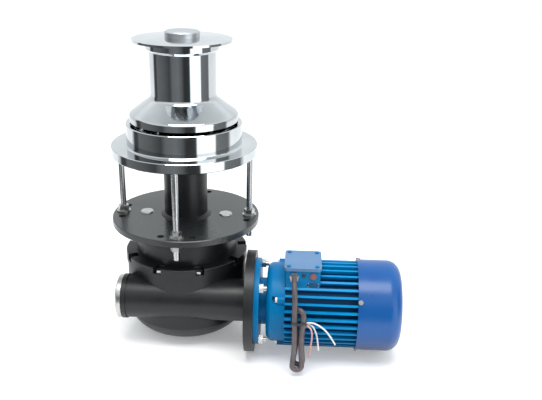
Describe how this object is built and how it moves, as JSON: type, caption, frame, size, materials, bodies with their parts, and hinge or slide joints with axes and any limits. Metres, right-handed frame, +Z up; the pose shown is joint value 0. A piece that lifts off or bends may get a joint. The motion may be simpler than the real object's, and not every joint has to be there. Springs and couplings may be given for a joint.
{
  "type": "deck capstan",
  "caption": "Vertical mooring capstan: polished drum over a deck ring, with an under-deck worm gearbox and a finned electric motor at its side.",
  "frame": {"origin": "centre of the four deck tie rods, at the underside of the polished deck ring", "axes": "+Z up the drum axis; the motor lies along +X; the worm line is on the -Y side"},
  "size_m": [0.577, 0.351, 0.612],
  "materials": {
    "polished_steel": "mirror polish",
    "black_paint": "satin",
    "zinc": "zinc plated",
    "blue_paint": "gloss",
    "blue_cowl": "gloss",
    "pale_blue_paint": "satin",
    "bearing_steel": "ground",
    "seal_rubber": "matte",
    "shaft_steel": "ground",
    "grey_iron": "machined casting",
    "bronze": "machined",
    "laminations": "satin",
    "copper_wire": "varnished",
    "black_plastic": "matte",
    "grey_plastic": "matte",
    "red_plastic": "matte",
    "cable_jacket": "matte",
    "white_insulation": "satin",
    "pale_insulation": "satin",
    "pink_insulation": "satin"
  },
  "bodies": {
    "frame": {"deck_base": "polished_steel", "stand_tube": "black_paint", "mounting_plate": "black_paint", "tie_rods": "zinc", "tie_rod_washers": "zinc", "tie_rod_nuts": "zinc", "plate_screws": "zinc", "gearbox_cover": "black_paint", "cover_bolts": "zinc", "gear_housing": "black_paint", "worm_end_cap": "zinc", "level_plug": "zinc", "main_bearing_outers": "bearing_steel", "small_bearing_outers": "bearing_steel", "input_bearing_outer": "bearing_steel", "upper_seal": "seal_rubber", "cover_seal": "seal_rubber", "input_seal": "seal_rubber", "motor_end_shield": "blue_paint", "flange_studs": "zinc", "flange_nuts": "zinc", "shield_bolts": "zinc", "stator_frame": "blue_paint", "stator_core": "laminations", "stator_windings": "copper_wire", "rear_end_shield": "blue_paint", "fan_cowl": "blue_cowl", "cowl_screws": "zinc", "terminal_box": "blue_paint", "terminal_lid": "pale_blue_paint", "lid_screws": "zinc", "terminal_board": "black_plastic", "cable_gland": "grey_plastic", "blank_plug": "red_plastic", "supply_cable": "cable_jacket", "cable_hank": "cable_jacket", "white_core": "white_insulation", "pale_core": "pale_insulation", "pink_core": "pink_insulation"},
    "drum_line": {"main_bearing_inners": "bearing_steel", "main_shaft": "shaft_steel", "drum_key": "shaft_steel", "wheel_key": "shaft_steel", "wheel_centre": "grey_iron", "wheel_spacer": "shaft_steel", "drum_spacer": "shaft_steel", "drum": "polished_steel", "drum_nut": "zinc", "drum_cap": "polished_steel", "wheel_rim": "bronze"},
    "motor_line": {"small_bearing_inners": "bearing_steel", "input_bearing_inner": "bearing_steel", "worm_shaft": "shaft_steel", "rotor_core": "laminations", "motor_shaft": "shaft_steel", "motor_key": "shaft_steel", "cooling_fan": "black_plastic"}
  },
  "joints": [
    {"name": "motor_spin", "type": "hinge", "parent": "frame", "child": "motor_line", "pos_m": [0, -0.0875, -0.277], "axis": [1, 0, 0], "continuous": true},
    {"name": "drum_spin", "type": "hinge", "parent": "frame", "child": "drum_line", "pos_m": [0, 0, 0], "axis": [0, 0, 1], "continuous": true}
  ],
  "couplings": [
    {"joint": "drum_spin", "follows": "motor_spin", "ratio": -0.025}
  ]
}
